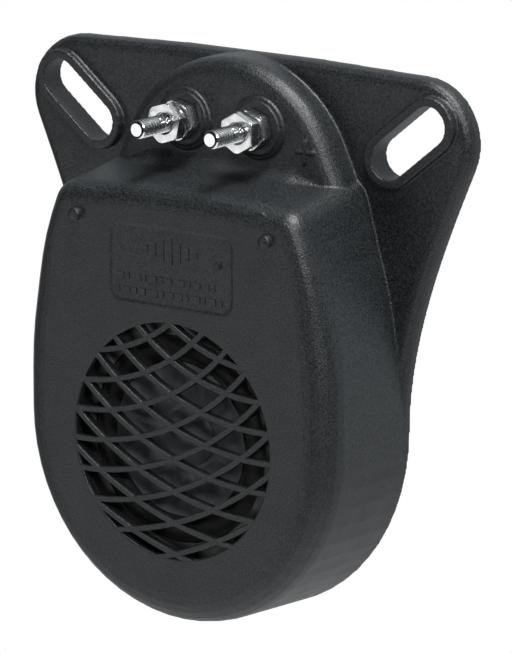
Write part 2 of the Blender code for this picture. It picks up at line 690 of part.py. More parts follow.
def make_terminal(side, word, home, cutters, plated, rubber, tinned, insulation):
    """One stud with its hardware outside, and its seal, ring terminal and lead inside."""
    centre = (side * STUD_X, 0)
    stem = thread_profile(STUD_TIP, STUD_HEAD_FRONT + 3.5)
    stem += [(STUD_RADIUS, STUD_HEAD_FRONT + 3.2), (STUD_RADIUS, STUD_HEAD_FRONT - 1), (0, STUD_HEAD_FRONT - 1)]
    stud = mesh_of(as_helper(turned("stud_" + word, stem, cutters, centre, 16)))
    bpy.data.objects.remove(bpy.data.objects["stud_" + word])
    stud.name = "stud_" + word
    home.objects.link(stud)
    head = plate(f"stud_head_{word}", hexagon(STUD_HEAD_FLATS), STUD_HEAD_BACK, STUD_HEAD_FRONT, cutters, centre)
    boolean(stud, "UNION", as_helper(head))
    finish(stud, plated)
    inner = (INNER_NUT_BACK, INNER_NUT_BACK + NUT_THICK, INNER_NUT_TURNS[word])
    finish(chamfered_nut("inner_nut_" + word, *inner, home, cutters, centre), plated)
    outer = (WIRING_NUT_BACK, WIRING_NUT_BACK + NUT_THICK, WIRING_NUT_TURNS[word])
    finish(chamfered_nut("wiring_nut_" + word, *outer, home, cutters, centre), plated)
    washer_size = (WASHER_BACK, WASHER_BACK + WASHER_THICK, NUT_BORE, WASHER_RADIUS)
    washer = ring("lock_washer_" + word, washer_size, home, centre)
    split = block("washer_split_" + word, (WASHER_SPLIT, 4, 4), (centre[0], 3.6, WASHER_BACK), cutters)
    boolean(washer, "DIFFERENCE", as_helper(split))
    finish(washer, plated)
    finish(ring("stud_seal_" + word, (10.7, 11.9, STUD_HOLE_RADIUS, 4.2), home, centre, 24), rubber)
    make_ring_terminal(word, centre, home, cutters, tinned)
    start = (centre[0], -11.6, 10.5)
    route = [start, (centre[0], -14.5, 10.9), (centre[0] + side * 1.5, -17.5, 10.4)]
    route += [(centre[0] + side * 2, -19.0, 9.0), (centre[0] + side * 2, -19.2, COMPONENT_BACK)]
    finish(mesh_part(wire("power_lead_" + word, route, 0.9, cutters), home), insulation)


def make_ring_terminal(word, centre, home, cutters, tinned):
    """A flat ring on the stud with a tongue and a crimped barrel below it."""
    lug = ring("ring_terminal_" + word, (9.6, 10.4, STUD_HOLE_RADIUS, 4.6), home, centre, 24)
    tongue = block("tongue_" + word, (3.0, 5.0, 0.7), (centre[0], -6.2, 10.0), cutters)
    barrel = block("barrel_" + word, (3.0, 3.8, 2.4), (centre[0], -9.4, 10.75), cutters, round_edge=0.5)
    for other in (tongue, barrel):
        boolean(lug, "UNION", as_helper(other))
    finish(lug, tinned)


def mesh_part(obj, home):
    """Turns a helper object, such as a curve, into a mesh part of the same name."""
    name = obj.name
    made = mesh_of(obj)
    bpy.data.objects.remove(obj)
    made.name = name
    home.objects.link(made)
    return made


# Speaker


def basket_profile():
    """The speaker frame's section: a flange, a cone-shaped wall, a step for the spider and a floor."""
    back, front, inner, outer = FRAME_FLANGE
    floor = TOP_PLATE[1] + GAP
    step = SPIDER[0] - 0.5 - GAP
    outer_side = [(outer, front), (outer, back), (inner + 2.2, back), (18.6, step - 1.4), (18.6, floor)]
    inner_side = [(8.2, floor), (8.2, floor + 1), (14.4, floor + 1), (14.4, step), (17.4, step)]
    return [(inner, front)] + outer_side + inner_side + [(inner, back - 0.2)]


def make_speaker(home, cutters, looks):
    centre = (0, SPEAKER_Z)
    finish(ring("speaker_gasket", GASKET, home, centre, 36), looks["foam"])
    frame = mesh_part(turned("speaker_frame", basket_profile(), cutters, centre, 32, ring=True), home)
    back, front = FRAME_FLANGE[:2]
    for i, (x, z) in enumerate(lug_places()):
        outward = Vector((x, z - SPEAKER_Z)).normalized()
        root = (x - outward.x * 5, z - outward.y * 5)
        pad = obround(root, (x, z), LUG_RADIUS, 6)
        boolean(frame, "UNION", as_helper(plate(f"lug_{i}", pad, back + 0.1, front - 0.1, cutters)))
        hole = cylinder(f"lug_hole_{i}", PILOT_RADIUS, back - 1, front + 1, cutters, (x, z), 12)
        boolean(frame, "DIFFERENCE", as_helper(hole))
        diagonal = math.radians(90 * i + 45)
        window = (23.0 * math.cos(diagonal), SPEAKER_Z + 23.0 * math.sin(diagonal))
        opening = cylinder(f"window_{i}", 6.0, 24.1, 30.7, cutters, window, 16)
        boolean(frame, "DIFFERENCE", as_helper(opening))
    finish(frame, looks["steel_black"])
    crest, level = 33.2, 32.3
    roll = [(SURROUND_INNER, level), (21.6, level), (23.5, crest), (25.4, level), (SURROUND_OUTER, level)]
    roll += [(r, depth - 0.5) for r, depth in reversed(roll)]
    finish(turned("speaker_surround", roll, home, centre, 36, ring=True), looks["rubber"])
    (rim_r, rim), (neck_r, neck) = CONE_RIM, CONE_NECK
    cone = [(rim_r, rim), (rim_r, rim - CONE_THICK), (neck_r, neck - CONE_THICK), (6.9, neck - CONE_THICK)]
    cone += [(6.9, neck), (neck_r - 0.3, neck)]
    finish(turned("speaker_cone", cone, home, centre, 36, ring=True), looks["mylar"])
    dome = arc((0, neck - 8.5), 12.2, 52, 90, 4)
    dome_top = [(max(x, 0.0), z) for x, z in reversed(dome)]
    inner_dome = [(max(x * 0.95, 0.0), z - 0.5) for x, z in dome]
    cap = [p for p in dome_top + inner_dome]
    finish(turned("dust_cap", cap, home, centre, 24), looks["mylar"])
    finish(ring("coil_former", FORMER, home, centre), looks["paper"])
    finish(ring("voice_coil", COIL, home, centre), looks["copper"])
    make_spider(home, centre, looks["cloth"])
    finish(ring("top_plate", TOP_PLATE, home, centre), looks["plated"])
    finish(ring("speaker_magnet", MAGNET, home, centre), looks["ferrite"])
    plate_top = [(0, TOP_PLATE[1]), (POLE_RADIUS, TOP_PLATE[1]), (POLE_RADIUS, BACK_PLATE_FRONT)]
    yoke = plate_top + [
        (BACK_PLATE_RADIUS, BACK_PLATE_FRONT),
        (BACK_PLATE_RADIUS, BACK_PLATE_BACK),
        (0, BACK_PLATE_BACK),
    ]
    finish(turned("back_plate", yoke, home, centre), looks["plated"])
    strip, strip_z = (15.0, 4.4, 1.0), SPEAKER_Z + 31.6
    strip_depth = FRAME_FLANGE[0] - GAP - strip[2] / 2
    finish(block("terminal_strip", strip, (0, strip_z, strip_depth), home), looks["paper"])
    for i, place in enumerate(lug_places()):
        screw = head_screw(f"speaker_screw_{i + 1}", back - GAP, 1, 4.3, home, place)
        finish(screw, looks["plated"])
    for i, x in enumerate((-4.5, 4.5)):
        end = strip_depth - strip[2] / 2 - GAP
        route = [(x, strip_z, end), (x, strip_z - 0.2, end - 3), (x * 1.2, strip_z - 2.5, 18)]
        route += [(x * 1.1, strip_z - 4, 11), (x, strip_z - 4.6, COMPONENT_BACK)]
        finish(mesh_part(wire(f"speaker_lead_{i + 1}", route, 0.7, cutters), home), looks["insulation"])


def make_spider(home, centre, cloth):
    """The corrugated damper ring: its section is a wave of even thickness."""
    depth, inner, outer = SPIDER
    waves, thick = 2, 0.5
    count = 4 * waves
    span = outer - SPIDER_RIM - inner
    top = [
        (inner + span * i / count, depth + 0.5 * math.sin(2 * math.pi * waves * i / count))
        for i in range(count + 1)
    ]
    top.append((outer, depth))
    section = top + [(r, h - thick) for r, h in reversed(top)]
    finish(turned("speaker_spider", section, home, centre, 28, ring=True), cloth)


def head_screw(name, under_head, direction, length, home, place):
    """A pan-head screw whose shank runs forward (1) or back (-1) from under its head."""
    radius, head_radius, head = 1.2, 2.6, 1.6
    back = under_head - direction * head
    profile = [(0, under_head + length), (radius * 0.5, under_head + length), (radius, under_head + length - 0.9)]
    profile += [(radius, under_head), (head_radius, under_head), (head_radius, back + 0.6)]
    profile += [(head_radius * 0.7, back), (0, back)]
    return turned(name, profile, home, place, 12)


# Circuit board


def axial_part(name, radius, length, place, home, cutters):
    """A resistor or diode: a round body along X with its leads bent down to the board."""
    x, z = place
    depth = COMPONENT_BACK + radius + 0.6
    reach = length / 2 + 1.6
    route = [(x - reach, z, COMPONENT_BACK), (x - reach, z, depth - 0.5), (x - reach + 0.6, z, depth)]
    route += [(x + reach - 0.6, z, depth), (x + reach, z, depth - 0.5), (x + reach, z, COMPONENT_BACK)]
    lead = mesh_part(wire(name, route, 0.35, cutters), home)
    shape = bmesh.new()
    bmesh.ops.create_cone(
        shape, cap_ends=True, segments=16, radius1=radius * MM, radius2=radius * MM, depth=length * MM
    )
    bmesh.ops.rotate(shape, verts=shape.verts, matrix=Matrix.Rotation(math.radians(90), 3, "Y"))
    bmesh.ops.translate(shape, verts=shape.verts, vec=(0, 0, depth * MM))
    mesh = bpy.data.meshes.new(name + "_body")
    shape.to_mesh(mesh)
    shape.free()
    boolean(lead, "UNION", as_helper(add_object(name + "_body", mesh, cutters, place)))
    return lead


def can_capacitor(name, radius, height, place, home):
    """An electrolytic capacitor standing on the board, with its rolled groove."""
    base, top = COMPONENT_BACK, COMPONENT_BACK + height
    profile = [(0, top), (radius - 0.5, top), (radius, top - 0.5), (radius, base + 2.4)]
    profile += [(radius - 0.5, base + 2.0), (radius, base + 1.6), (radius, base), (0, base)]
    return turned(name, profile, home, place, 24)


def transformer(home, cutters, looks):
    """The drive transformer: a ferrite core with two windows, and a copper winding on its middle leg."""
    x, z, width, height, depth, wound = 4.5, -32.0, 17.0, 14.0, 8.0, 11.6
    middle = COMPONENT_BACK + wound / 2
    core = block("transformer_core", (width, height, depth), (x, z, middle), home, round_edge=0.4)
    for side in (-1, 1):
        name = f"core_window_{side}"
        opening = block(name, (4.0, height - 6, depth + 4), (x + side * 4.5, z, middle), cutters)
        boolean(core, "DIFFERENCE", as_helper(opening))
    finish(core, looks["ferrite"])
    outline = rounded_polygon(rectangle(-6.1, 6.1, -3.6, 3.6), 1.4, 3)
    winding = plate("transformer_winding", outline, middle - wound / 2, middle + wound / 2, home, (x, z))
    leg = block("winding_core_leg", (5.0 + 2 * GAP, 20, depth + 2 * GAP), (x, z, middle), cutters)
    boolean(winding, "DIFFERENCE", as_helper(leg))
    finish(winding, looks["copper"])


def power_transistor(home, cutters, looks):
    """A tab-mounted transistor lying on the board."""
    x, z = 21.5, -34.0
    case = block("power_transistor", (10.0, 9.0, 4.4), (x, z, COMPONENT_BACK + 2.2), home, round_edge=0.3)
    tab = block("transistor_tab", (10.0, 7.0, 1.2), (x, z + 7.4, COMPONENT_BACK + 0.75), cutters)
    boolean(case, "UNION", as_helper(tab))
    hole = cylinder("tab_hole", 1.8, COMPONENT_BACK - 1, COMPONENT_BACK + 3, cutters, (x, z + 8.0), 16)
    boolean(case, "DIFFERENCE", as_helper(hole))
    for i in (-1, 0, 1):
        leg = block(f"transistor_leg_{i}", (0.8, 5.0, 0.6), (x + 2.54 * i, z - 6.2, COMPONENT_BACK + 1.5), cutters)
        boolean(case, "UNION", as_helper(leg))
    finish(case, looks["chip"])


def timer_chip(home, cutters, looks):
    """An eight-leg chip standing on its legs."""
    x, z = 20.5, -50.5
    case = block("timer_chip", (9.6, 6.4, 3.2), (x, z, COMPONENT_BACK + 2.4), home, round_edge=0.3)
    for side in (-1, 1):
        for k in range(4):
            name = f"chip_leg_{side}_{k}"
            place = (x + 2.54 * (k - 1.5), z + side * 3.6, COMPONENT_BACK + 1.2)
            boolean(case, "UNION", as_helper(block(name, (0.8, 1.2, 2.4), place, cutters)))
    finish(case, looks["chip"])


def make_board(home, cutters, looks):
    corners = [
        (-BOARD_BOTTOM_HALF, BOARD_BOTTOM),
        (BOARD_BOTTOM_HALF, BOARD_BOTTOM),
        (BOARD_BOTTOM_HALF, BOARD_BOTTOM + 10),
        (BOARD_TOP_HALF, BOARD_TOP),
        (-BOARD_TOP_HALF, BOARD_TOP),
        (-BOARD_BOTTOM_HALF, BOARD_BOTTOM + 10),
    ]
    board = plate("circuit_board", rounded_polygon(corners, 2.0, 3), BOARD_BACK, BOARD_FRONT, home)
    for i, place in enumerate(BOARD_POSTS):
        hole = cylinder(f"board_hole_{i}", PILOT_RADIUS, BOARD_BACK - 1, BOARD_FRONT + 1, cutters, place, 12)
        boolean(board, "DIFFERENCE", as_helper(hole))
        finish(head_screw(f"board_screw_{i + 1}", BOARD_BACK - GAP, 1, 7.5, home, place), looks["plated"])
    finish(board, looks["board"])
    finish(can_capacitor("capacitor_large", 6.3, 17.0, (-19.0, -34.0), home), looks["can"])
    finish(can_capacitor("capacitor_small", 4.0, 11.5, (-9.5, -23.0), home), looks["can"])
    transformer(home, cutters, looks)
    power_transistor(home, cutters, looks)
    timer_chip(home, cutters, looks)
    for i, place in enumerate(((-21.5, -46.0), (-12.0, -46.0))):
        name = f"film_capacitor_{i + 1}"
        middle = (*place, COMPONENT_BACK + 3.0)
        finish(block(name, (7.2, 3.0, 6.0), middle, home, round_edge=0.5), looks["film"])
    finish(axial_part("diode", 1.35, 5.2, (12.5, -45.0), home, cutters), looks["chip"])
    for i, place in enumerate(((-20.0, -51.5), (-20.0, -56.5), (6.0, -57.5))):
        finish(axial_part(f"resistor_{i + 1}", 1.2, 6.3, place, home, cutters), looks["resistor"])


def make_looks():
    black = (0.02, 0.02, 0.021)
    return {
        "moulding": new_material("black_moulding", black, 0.5),
        "cover": new_material("cover_plastic", black, 0.6),
        "resin": new_material("potting_resin", (0.012, 0.012, 0.013), 0.3),
        "plated": new_material("zinc_plate", (0.72, 0.73, 0.75), 0.25, 1.0),
        "tinned": new_material("tinned_copper", (0.78, 0.76, 0.72), 0.3, 1.0),
        "rubber": new_material("black_rubber", (0.015, 0.015, 0.015), 0.8),
        "foam": new_material("black_foam", (0.03, 0.03, 0.03), 0.95),
        "steel_black": new_material("painted_steel", (0.03, 0.03, 0.032), 0.4),
        "mylar": new_material("dark_film", (0.05, 0.055, 0.06), 0.3),
        "paper": new_material("brown_paper", (0.25, 0.16, 0.08), 0.8),
        "copper": new_material("copper_wire", (0.72, 0.32, 0.14), 0.35, 1.0),
        "cloth": new_material("amber_cloth", (0.45, 0.25, 0.08), 0.9),
        "ferrite": new_material("ferrite", (0.05, 0.05, 0.052), 0.6),
        "insulation": new_material("wire_insulation", (0.5, 0.03, 0.02), 0.45),
        "board": new_material("board_laminate", (0.03, 0.16, 0.06), 0.4),
        "chip": new_material("chip_epoxy", (0.02, 0.02, 0.02), 0.5),
        "can": new_material("capacitor_sleeve", (0.02, 0.04, 0.12), 0.35),
        "film": new_material("film_capacitor_case", (0.45, 0.12, 0.03), 0.4),
        "resistor": new_material("resistor_coat", (0.55, 0.42, 0.25), 0.5),
    }


def main():
    clear_scene()
    home = new_collection("back_up_alarm")
    cutters = new_collection("cutters")
    looks = make_looks()
    make_rear_cover(home, cutters, looks["cover"], looks["resin"])
    for side, word in ((-1, "left"), (1, "right")):
        finishes = (looks["plated"], looks["rubber"], looks["tinned"], looks["insulation"])
        make_terminal(side, word, home, cutters, *finishes)
    make_speaker(home, cutters, looks)
    make_board(home, cutters, looks)
    make_housing(home, cutters, looks["moulding"])


main()
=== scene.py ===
"""The looks of the back-up alarm: black moulded plastic, zinc-plated terminals and a speaker in a grille.

The frame is in metres. Sizes below are in millimetres, except the places of the camera, the lights and
the floor. A piece is drawn with its own Z as forward, which is the distance in front of the rear
mounting face: that face is the plane Y = 0, and forward is -Y.
"""

import json
import math

import bmesh
import bpy
from mathutils import Matrix, Vector


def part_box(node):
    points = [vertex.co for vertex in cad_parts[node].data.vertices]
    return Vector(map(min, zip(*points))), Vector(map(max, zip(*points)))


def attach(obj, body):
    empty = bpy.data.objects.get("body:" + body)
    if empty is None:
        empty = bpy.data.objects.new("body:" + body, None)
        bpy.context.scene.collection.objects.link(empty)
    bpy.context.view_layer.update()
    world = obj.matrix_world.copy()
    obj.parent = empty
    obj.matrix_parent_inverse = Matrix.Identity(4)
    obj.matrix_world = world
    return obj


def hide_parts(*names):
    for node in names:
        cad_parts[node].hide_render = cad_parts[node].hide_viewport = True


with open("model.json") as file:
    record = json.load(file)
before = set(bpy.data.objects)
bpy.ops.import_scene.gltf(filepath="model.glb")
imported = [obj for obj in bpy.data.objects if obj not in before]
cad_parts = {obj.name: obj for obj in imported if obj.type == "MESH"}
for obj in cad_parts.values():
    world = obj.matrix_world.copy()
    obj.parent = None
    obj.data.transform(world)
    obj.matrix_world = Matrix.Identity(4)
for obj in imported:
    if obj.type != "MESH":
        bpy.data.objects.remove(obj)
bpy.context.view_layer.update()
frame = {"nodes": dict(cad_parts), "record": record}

MM = 0.001
NODES = frame["nodes"]
BODY = "alarm_body"

CUT_MARGIN = 1.0  # how far a cutter reaches past what it cuts

# Housing shell
VOXEL = 0.3
SHELL_SMOOTHING = 4  # rounds of smoothing after the remesh
SHELL_KEPT = 0.35  # share of faces kept once the shell is smooth
BODY_FRONT, FRONT_WALL = 36.5, 2.2

# Grille: two families of bars, arcs about two centres above it
GRILLE_Z, GRILLE_RADIUS = -78.9, 30.6
GRILLE_CENTRE_X, GRILLE_CENTRE_RISE, GRILLE_TURN_DEG = 28.7, 69.0, 1.4
BAR_FIRST_RADIUS, BAR_STEP, BAR_COUNT, BAR_WIDTH = 48.0, 7.785, 8, 1.5
BAR_CHAMFER, BAR_SUNK = 0.18, 0.04
BAR_SPAN, BAR_STEPS = 1.1, 48  # length each side of its middle, in grille radii, and steps along it
LATTICE_BACK, LATTICE_IN_WALL = 30.0, 0.5  # what trims the bars: its back, and its reach into the wall

# Label: upright strokes of a made-up wave mark above two rows of dashes
LABEL_FLOOR, MARK_HEIGHT = 36.2, 0.24
MARK_SLOPE, MARK_SUNK = 0.12, 0.3  # how far the top is drawn in, and the foot is sunk
WAVE_HEIGHTS = (1.6, 3.4, 5.4, 7.2, 5.4, 3.4, 1.6)
WAVE_Z, WAVE_STEP, STROKE_WIDTH = -29.9, 2.6, 0.8
DASH_ROWS = (-37.6, -41.2)
DASH_LENGTHS = (2.2, 1.1, 3.0, 0.9, 2.6, 1.4, 2.0, 3.2, 1.2, 2.4)
DASH_LEFT, DASH_RIGHT, DASH_TALL, DASH_SPACE = -17.2, 17.2, 1.9, 0.7

# Plus sign and pips
TERMINAL_FACE = 14.7
PLUS_X, PLUS_Z, PLUS_LENGTH, PLUS_STROKE, PLUS_RISE = 25.8, -4.7, 5.8, 0.7, 0.3
PIP_X, PIP_Z, PIP_RADIUS, PIP_RISE = 29.9, -23.4, 1.75, 1.98
PIP_DOME, PIP_SUNK = 0.7, 0.5
DOME_TURNS = [math.radians(15 * i) for i in range(7)]

# Studs
STUD_RADIUS, STUD_ROOT, THREAD_PITCH = 2.415, 1.78, 25.4 / 24
ROOT_SHARE, FLANK_SHARE = 0.3, 0.4  # of half a pitch: the flat root, then the flank up to the crest
THREAD_STEPS, THREAD_ROWS = 48, 16  # steps round the stud, and rows along each pitch
HEAD_FLATS, HEAD_THICK, STEM_IN_HEAD, PLAIN_SHANK = 8.0, 2.4, 0.5, 3.0
STUD_CHAMFER, TIP_HOLLOW, TIP_HOLLOW_SHARE = 0.75, 0.06, 0.8

# Nuts
NUT_FLATS, NUT_BORE, BORE_SINK = 9.53, 2.5, 0.45
INNER_NUT_TURNS = {"left": 46.0, "right": 43.0}  # degrees
WIRING_NUT_TURNS = {"left": 18.0, "right": 30.0}
NUT_FACE = 0.3  # how far the flat face of a nut reaches past its flats before the chamfer
NUT_CHAMFER_DEG, NUT_CORNER_ROOM = 30, 0.3
NUT_CROWN, NUT_CROWN_EDGE = 0.1, 0.02  # room left in front of each face, at its middle and its edge
NUT_SOFT_EDGE = 0.09

# Lock washers
WASHER_INNER, WASHER_OUTER, WASHER_EDGE = 2.62, 4.28, 0.12
WASHER_GAP_DEG, WASHER_LIFT, WASHER_STEPS = 7.0, 0.16, 72

# Speaker
FILM_THICK, FILM_FRONT = 0.4, 0.5  # FILM_FRONT: from the back of the CAD piece to the film's front face
CONE_RIM, CONE_NECK, CONE_INNER, RIM_SUNK = 20.1, 8.4, 6.95, 0.2
PLEATS, PLEAT_DEPTH = 24, 0.55
PLEAT_START, PLEAT_SPAN = 0.12, 0.7  # where the pleats start and how far they run, in shares of the cone
CONE_RINGS, PLEAT_STEPS, DOME_RINGS = 16, 8, 12
ROLL_BAND, ROLL_FLAT, ROLL_STEPS = 6.3, 0.9, 14

# Camera: places in metres, lens and sensor in millimetres
AZIMUTH_DEG, ELEVATION_DEG = 36.23, 12.57
DISTANCE = 1.54
LENS, SENSOR = 332.3, 36.0
CLIP_NEAR, CLIP_FAR = 0.05, 20.0
AIM_POINT = Vector((0.0, -0.0163, -0.055))
AIM_RIGHT, AIM_UP = 0.00955, 0.00224

# Light: name, place relative to the lit point, size (all in metres) and power in watts
LIT_POINT = Vector((0, -0.02, -0.055))
LIGHTS = (
    ("key", (0.35, -0.15, 1.2), 0.42, 22.0),
    ("side", (0.95, -0.8, 0.75), 0.3, 10.0),
    ("card", (-0.74, -1.0, -0.3), 0.95, 2.7),
)
ROOM_LIGHT, SWEEP_LIGHT = 0.05, 0.6
SWEEP_START, SWEEP_END = -0.1, 0.7  # how far back a direction points where the sweep sets in and is full
SURROUND_TINT = (0.9, 0.96, 1.0, 1)
FLOOR_Z, FLOOR_HALF = -0.75, 1.2


# Materials


class Look:
    """A material whose node tree is built step by step in the object's own coordinates."""

    def __init__(self, name, colour, roughness, metallic=0.0, specular=0.5):
        self.material = bpy.data.materials.new(name)
        self.material.use_nodes = True
        self.nodes = self.material.node_tree.nodes
        self.links = self.material.node_tree.links
        self.shader = self.nodes["Principled BSDF"]
        self.shader.inputs["Base Color"].default_value = (*colour, 1.0)
        self.shader.inputs["Roughness"].default_value = roughness
        self.shader.inputs["Metallic"].default_value = metallic
        self.shader.inputs["Specular IOR Level"].default_value = specular
        self.place = self.nodes.new("ShaderNodeTexCoord").outputs["Object"]
        self.bumped = None

    def noise(self, size_mm, detail=3.0, rough=0.55, stretch=None):
        """Noise whose features are about this size. Stretch scales the coordinates first."""
        made = self.nodes.new("ShaderNodeTexNoise")
        made.inputs["Scale"].default_value = 1.0 / (size_mm * MM)
        made.inputs["Detail"].default_value = detail
        made.inputs["Roughness"].default_value = rough
        self.links.new(self.stretched(stretch), made.inputs["Vector"])
        return made.outputs["Fac"]

    def cells(self, size_mm, feature="F1"):
        """Cells of about this size, as the distance to their middles or edges."""
        made = self.nodes.new("ShaderNodeTexVoronoi")
        made.feature = feature
        made.inputs["Scale"].default_value = 1.0 / (size_mm * MM)
        self.links.new(self.place, made.inputs["Vector"])
        return made.outputs["Distance"]

    def stretched(self, stretch):
        """The object's coordinates, scaled if a stretch is given."""
        if not stretch:
            return self.place
        mapping = self.nodes.new("ShaderNodeMapping")
        mapping.inputs["Scale"].default_value = stretch
        self.links.new(self.place, mapping.inputs["Vector"])
        return mapping.outputs["Vector"]

    def ramp(self, source, low, high, start=0.3, end=0.7):
        """Colours between two ends, driven by a pattern."""
        made = self.nodes.new("ShaderNodeValToRGB")
        made.color_ramp.elements[0].position = start
        made.color_ramp.elements[1].position = end
        made.color_ramp.elements[0].color = (*low, 1.0)
        made.color_ramp.elements[1].color = (*high, 1.0)
        self.links.new(source, made.inputs["Fac"])
        return made.outputs["Color"]

    def remap(self, source, low, high, to_low=0.0, to_high=1.0):
        """A value brought from one range to another."""
        made = self.nodes.new("ShaderNodeMapRange")
        made.inputs["From Min"].default_value = low
        made.inputs["From Max"].default_value = high
        made.inputs["To Min"].default_value = to_low
        made.inputs["To Max"].default_value = to_high
        self.links.new(source, made.inputs["Value"])
        return made.outputs["Result"]

    def colour(self, source, low, high, start=0.3, end=0.7):
        """The base colour, between two ends."""
        self.links.new(self.ramp(source, low, high, start, end), self.shader.inputs["Base Color"])
        return self

    def tip_mask(self):
        """One on the flat end of a stud, where the surface faces along its own axis."""
        parts = self.nodes.new("ShaderNodeSeparateXYZ")
        facing = self.nodes.new("ShaderNodeTexCoord")
        self.links.new(facing.outputs["Normal"], parts.inputs["Vector"])
        return self.remap(parts.outputs["Z"], 0.9, 0.97)

    def axis_distance(self):
        """Distance from the object's own Z axis."""
        flat = self.nodes.new("ShaderNodeVectorMath")
        flat.operation = "MULTIPLY"
        flat.inputs[1].default_value = (1, 1, 0)
        self.links.new(self.place, flat.inputs[0])
        reach = self.nodes.new("ShaderNodeVectorMath")
        reach.operation = "LENGTH"
        self.links.new(flat.outputs["Vector"], reach.inputs[0])
        return reach.outputs["Value"]

    def roughness(self, source, low, high, start=0.3, end=0.7):
        """The roughness, between two ends."""
        self.links.new(self.remap(source, start, end, low, high), self.shader.inputs["Roughness"])
        return self

    def bump(self, source, depth_mm, strength=1.0):
        """Adds a layer of relief. Layers build on each other."""
        made = self.nodes.new("ShaderNodeBump")
        made.inputs["Strength"].default_value = strength
        made.inputs["Distance"].default_value = depth_mm * MM
        self.links.new(source, made.inputs["Height"])
        if self.bumped:
            self.links.new(self.bumped, made.inputs["Normal"])
        self.bumped = made.outputs["Normal"]
        self.links.new(self.bumped, self.shader.inputs["Normal"])
        return self


def moulding_look():
    """Black nylon with a sandy spark-eroded grain, slightly worn to a sheen in patches."""
    look = Look("black_moulding_look", (0.014, 0.0158, 0.0168), 0.42)
    speckle = look.noise(0.5, detail=2, rough=0.7)
    look.colour(speckle, (0.002, 0.0035, 0.0045), (0.025, 0.0285, 0.0305), start=0.36, end=0.64)
    look.roughness(look.noise(7, detail=5), 0.36, 0.45)
    look.bump(look.noise(0.55, detail=2, rough=0.7), 0.12)
    look.bump(look.noise(0.35, detail=1), 0.08)
    return look.material


def cover_look():
    """The rear cover's duller black."""
    look = Look("cover_plastic_look", (0.018, 0.018, 0.019), 0.6)
    look.colour(look.noise(15, detail=4), (0.014, 0.014, 0.015), (0.024, 0.024, 0.025))
    look.roughness(look.noise(6, detail=4), 0.52, 0.7)
    look.bump(look.noise(0.7, detail=3), 0.05)
    return look.material


def resin_look():
    """Potting compound, cast flat, with faint flow marks."""
    look = Look("potting_resin_look", (0.012, 0.012, 0.013), 0.25)
    look.roughness(look.noise(12, detail=3), 0.18, 0.4)
    look.bump(look.noise(7, detail=2), 0.15)
    return look.material


def zinc_look():
    """Bright zinc plate: pale metal with soft blotches and a very fine grain."""
    look = Look("zinc_plate_look", (0.82, 0.83, 0.84), 0.2, metallic=1.0)
    look.colour(look.noise(2.2, detail=4), (0.66, 0.68, 0.7), (0.9, 0.9, 0.9))
    look.roughness(look.noise(1.2, detail=4), 0.13, 0.3)
    look.bump(look.noise(0.35, detail=3, rough=0.6), 0.008)
    return look.material


def thread_painted_shade_look():
    """Zinc plate on a thread, with painted shade: the roots are painted near black and the crests bright
    zinc, by distance from the stud's axis.
    """
    look = Look("zinc_thread_painted_shade_look", (0.8, 0.81, 0.82), 0.2, metallic=1.0)
    root_edge, crest_edge = (STUD_ROOT + 0.1) * MM, (STUD_RADIUS - 0.2) * MM
    # painted shade: near black in the thread roots, rising to bright zinc towards the crests; the flat tip is
    # kept out of it
    bright = look.nodes.new("ShaderNodeMath")
    bright.operation = "MAXIMUM"
    look.links.new(look.remap(look.axis_distance(), root_edge, crest_edge), bright.inputs[0])
    look.links.new(look.tip_mask(), bright.inputs[1])
    look.colour(bright.outputs["Value"], (0.006, 0.007, 0.008), (0.97, 0.98, 0.98))
    look.roughness(look.noise(1.2, detail=4), 0.1, 0.24)
    look.bump(look.noise(0.4, detail=3), 0.006)
    return look.material


def tinned_look():
    """Tinned copper: duller and warmer than the zinc."""
    look = Look("tinned_copper_look", (0.74, 0.72, 0.68), 0.3, metallic=1.0)
    look.colour(look.noise(1.5, detail=3), (0.6, 0.58, 0.54), (0.82, 0.8, 0.76))
    look.roughness(look.noise(1.0, detail=3), 0.22, 0.42)
    look.bump(look.noise(0.5, detail=3), 0.01)
    return look.material


def rubber_look():
    """Matt black rubber."""
    tone = 0.014
    look = Look("black_rubber_look", (tone, tone, tone), 0.75, specular=0.3)
    look.colour(look.noise(5, detail=3), (tone * 0.8,) * 3, (tone * 1.4,) * 3)
    look.roughness(look.noise(3, detail=3), 0.66, 0.85)
    look.bump(look.noise(0.4, detail=3), 0.03)
    return look.material


def foam_look():
    """Open-celled black foam, with painted shade in its pores: darker where the cells' bump is low."""
    look = Look("black_foam_look", (0.02, 0.02, 0.02), 0.95, specular=0.1)
    look.bump(look.cells(0.6), 0.25)
    # painted shade: darker at the middle of each cell, where the bump is lowest
    look.colour(look.cells(0.6), (0.008, 0.008, 0.008), (0.03, 0.03, 0.03), start=0.1, end=0.6)
    return look.material


def painted_look():
    """Pressed steel with satin black paint."""
    look = Look("painted_steel_look", (0.02, 0.02, 0.021), 0.42)
    look.roughness(look.noise(4, detail=4), 0.34, 0.52)
    look.bump(look.noise(0.6, detail=3), 0.02)
    return look.material


def film_look():
    """Satin polyester film of the diaphragm."""
    look = Look("dark_film_look", (0.09, 0.095, 0.1), 0.4, specular=0.5)
    look.colour(look.noise(6, detail=3), (0.07, 0.075, 0.08), (0.11, 0.116, 0.12))
    look.roughness(look.noise(2, detail=4), 0.34, 0.5)
    look.bump(look.noise(0.8, detail=3), 0.02)
    return look.material


def board_paper_look():
    """Brown paper board, with its fibres along one way."""
    look = Look("brown_paper_look", (0.24, 0.15, 0.08), 0.8, specular=0.2)
    look.colour(look.noise(1.2, detail=5, stretch=(1, 1, 4)), (0.18, 0.11, 0.055), (0.3, 0.2, 0.11))
    look.bump(look.noise(0.3, detail=4), 0.03)
    return look.material


